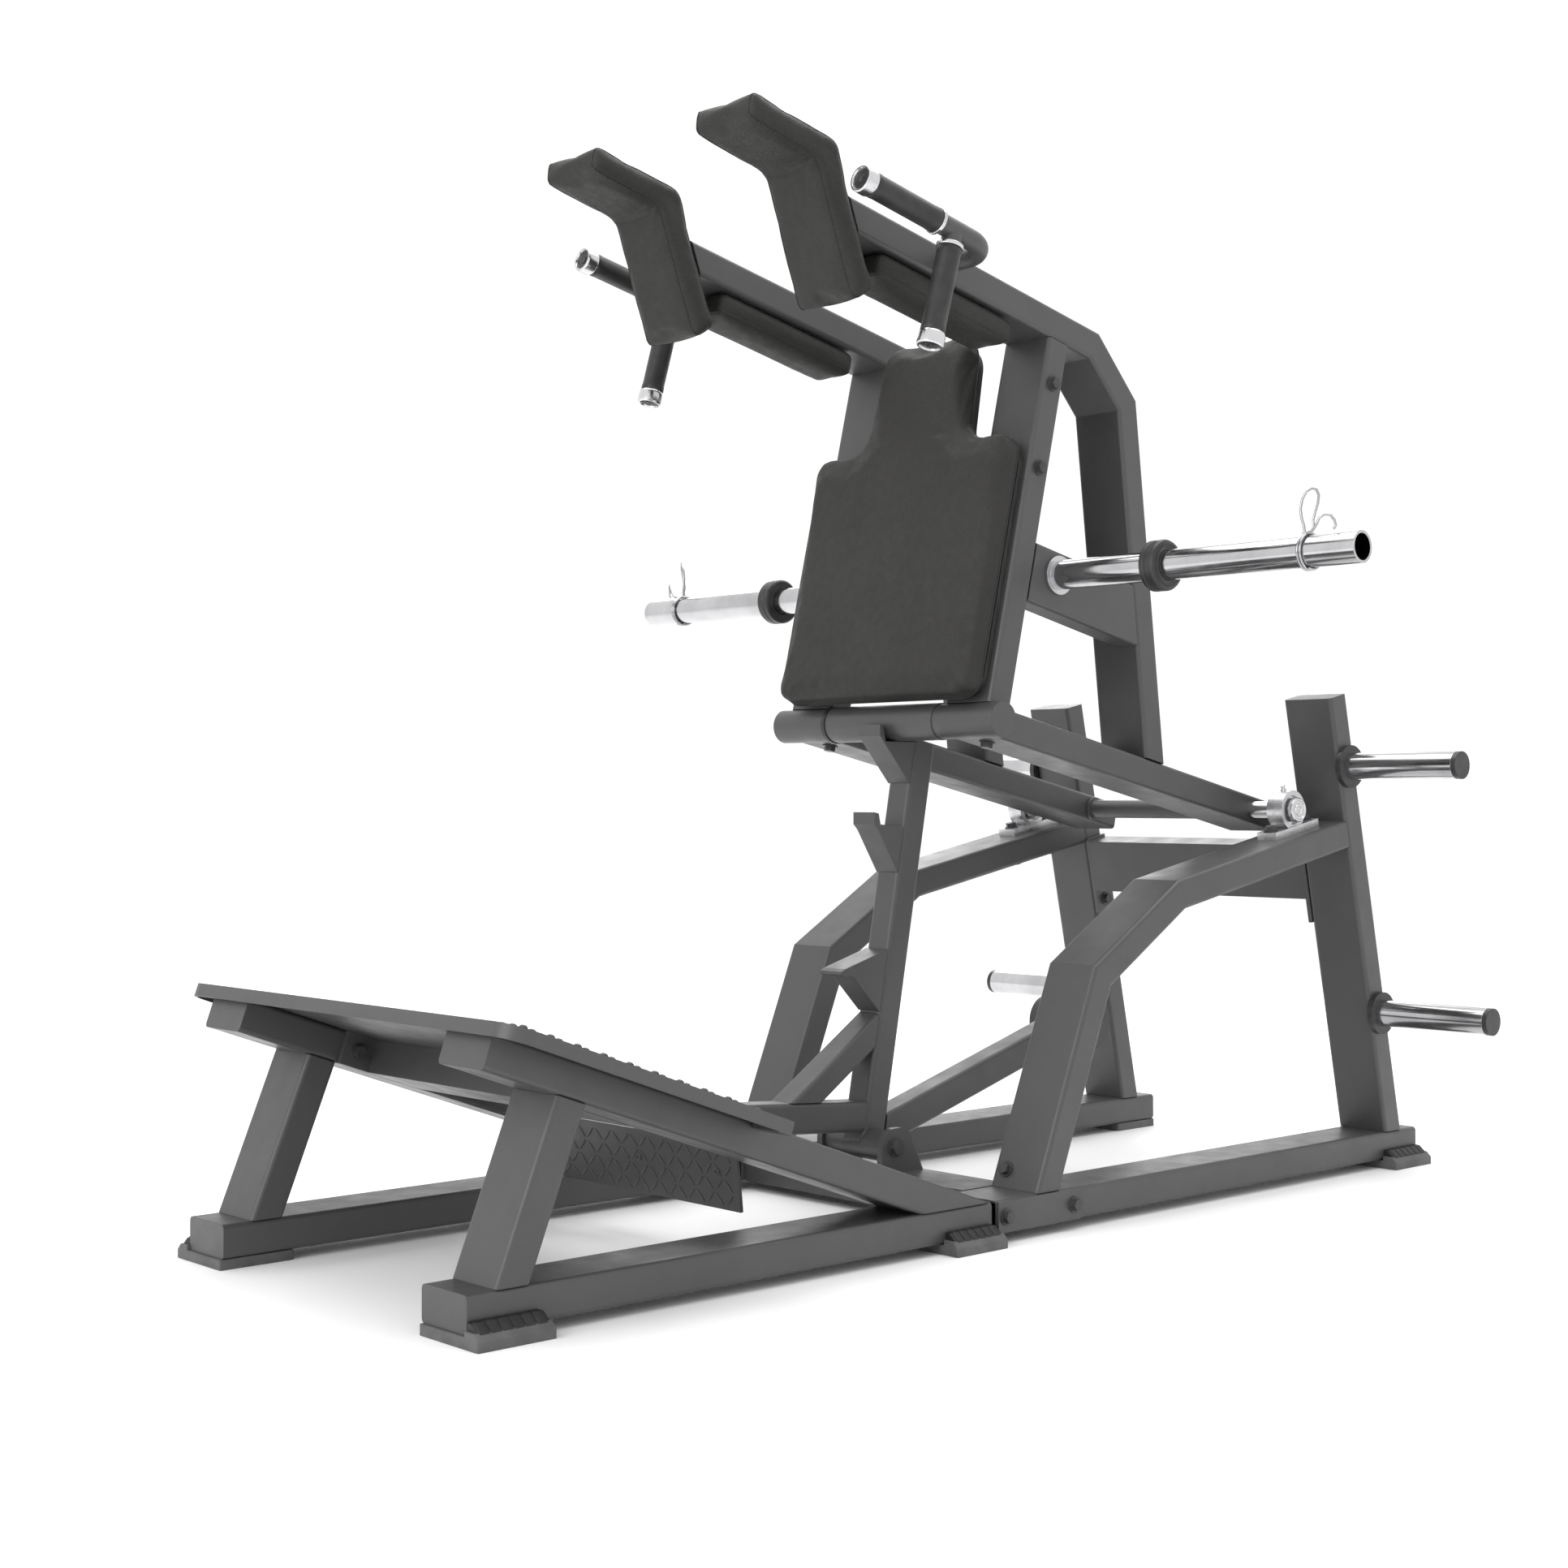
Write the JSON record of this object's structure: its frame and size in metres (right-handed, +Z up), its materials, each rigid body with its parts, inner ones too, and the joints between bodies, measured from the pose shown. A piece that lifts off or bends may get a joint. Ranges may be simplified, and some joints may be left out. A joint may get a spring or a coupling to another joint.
{
  "type": "hack squat machine",
  "caption": "Plate-loaded hack squat machine: a pivoting padded lever carriage over a sloped footplate, with plate horns and a foot-released lock post.",
  "frame": {"origin": "on the floor, in the middle of the footprint", "axes": "+X from the footplate towards the rear uprights, +Y to the right side as seen by a user who stands on the footplate facing away from the back pad, +Z up"},
  "size_m": [2.11, 1.632, 1.6941],
  "materials": {
    "frame_paint": "dark grey satin powder coat",
    "pad_vinyl": "fine-grained black upholstery vinyl",
    "pad_board": "black painted plywood backing board",
    "foot_rubber": "moulded dark rubber",
    "grip_rubber": "smooth black rubber",
    "cap_aluminium": "turned bright aluminium",
    "horn_chrome": "hard chrome on steel tube",
    "collar_black": "black moulded collars and caps",
    "bearing_housing": "silver painted cast housing",
    "bearing_steel": "ground bearing steel",
    "bolt_black": "black oxide hexagon bolts",
    "clip_steel": "bright spring steel wire"
  },
  "bodies": {
    "base": {"front_floor_rail_left": "frame_paint", "front_floor_rail_right": "frame_paint", "rear_floor_rail_left": "frame_paint", "rear_floor_rail_right": "frame_paint", "rubber_feet": "foot_rubber", "footplate_support_left": "frame_paint", "footplate_support_right": "frame_paint", "footplate_leg_left": "frame_paint", "footplate_leg_right": "frame_paint", "footplate_cross_beam": "frame_paint", "footplate": "frame_paint", "base_cross_beam": "frame_paint", "arch_left": "frame_paint", "arch_right": "frame_paint", "rear_upright_left": "frame_paint", "rear_upright_right": "frame_paint", "rear_cross_beam": "frame_paint", "storage_pegs_left": "horn_chrome", "storage_pegs_right": "horn_chrome", "peg_flanges_and_caps": "collar_black", "pillow_block_left": "bearing_housing", "pillow_block_right": "bearing_housing", "bearing_inserts": "bearing_steel", "lock_pivot_bolt": "bolt_black", "frame_bolts": "bolt_black"},
    "lever": {"pivot_shaft": "bearing_steel", "shaft_tube": "frame_paint", "lever_left": "frame_paint", "lever_right": "frame_paint", "front_cross_tube": "frame_paint", "lock_sleeve": "frame_paint", "side_frame_left": "frame_paint", "side_frame_right": "frame_paint", "arm_upright_left": "frame_paint", "arm_upright_right": "frame_paint", "horn_brace_left": "frame_paint", "horn_brace_right": "frame_paint", "weight_horn_left": "horn_chrome", "weight_horn_right": "horn_chrome", "back_pad": "pad_vinyl", "back_pad_board": "pad_board", "front_pad_left": "pad_vinyl", "front_pad_right": "pad_vinyl", "shoulder_pad_left": "pad_vinyl", "shoulder_pad_right": "pad_vinyl", "handle_tube_left": "frame_paint", "handle_tube_right": "frame_paint", "handle_grips": "grip_rubber", "grip_caps_and_rings": "cap_aluminium", "arm_bolts": "bolt_black"},
    "lock": {"lock_post": "frame_paint", "lock_hooks": "frame_paint", "lock_pivot_tube": "frame_paint", "pedal_arm": "frame_paint", "counterweight_arm": "frame_paint", "counterweight": "frame_paint", "pedal_crossbar": "frame_paint", "pedal_plate": "frame_paint"},
    "clip_left": {"spring_clip_left": "clip_steel"},
    "clip_right": {"spring_clip_right": "clip_steel"}
  },
  "joints": [
    {"name": "lever_pivot", "type": "hinge", "parent": "base", "child": "lever", "pos_m": [0.718, 0, 0.652], "axis": [0, 1, 0], "range_deg": [0, 12]},
    {"name": "lock_pivot", "type": "hinge", "parent": "base", "child": "lock", "pos_m": [-0.03, 0, 0.108], "axis": [0, 1, 0], "range_deg": [0, 12]},
    {"name": "clip_slide_left", "type": "slide", "parent": "lever", "child": "clip_left", "axis": [0, -1, 0], "range_m": [-0.24, 0.08]},
    {"name": "clip_slide_right", "type": "slide", "parent": "lever", "child": "clip_right", "axis": [0, 1, 0], "range_m": [-0.24, 0.08]}
  ],
  "couplings": [
    {"joint": "lock_pivot", "follows": "lever_pivot", "ratio": 1}
  ]
}
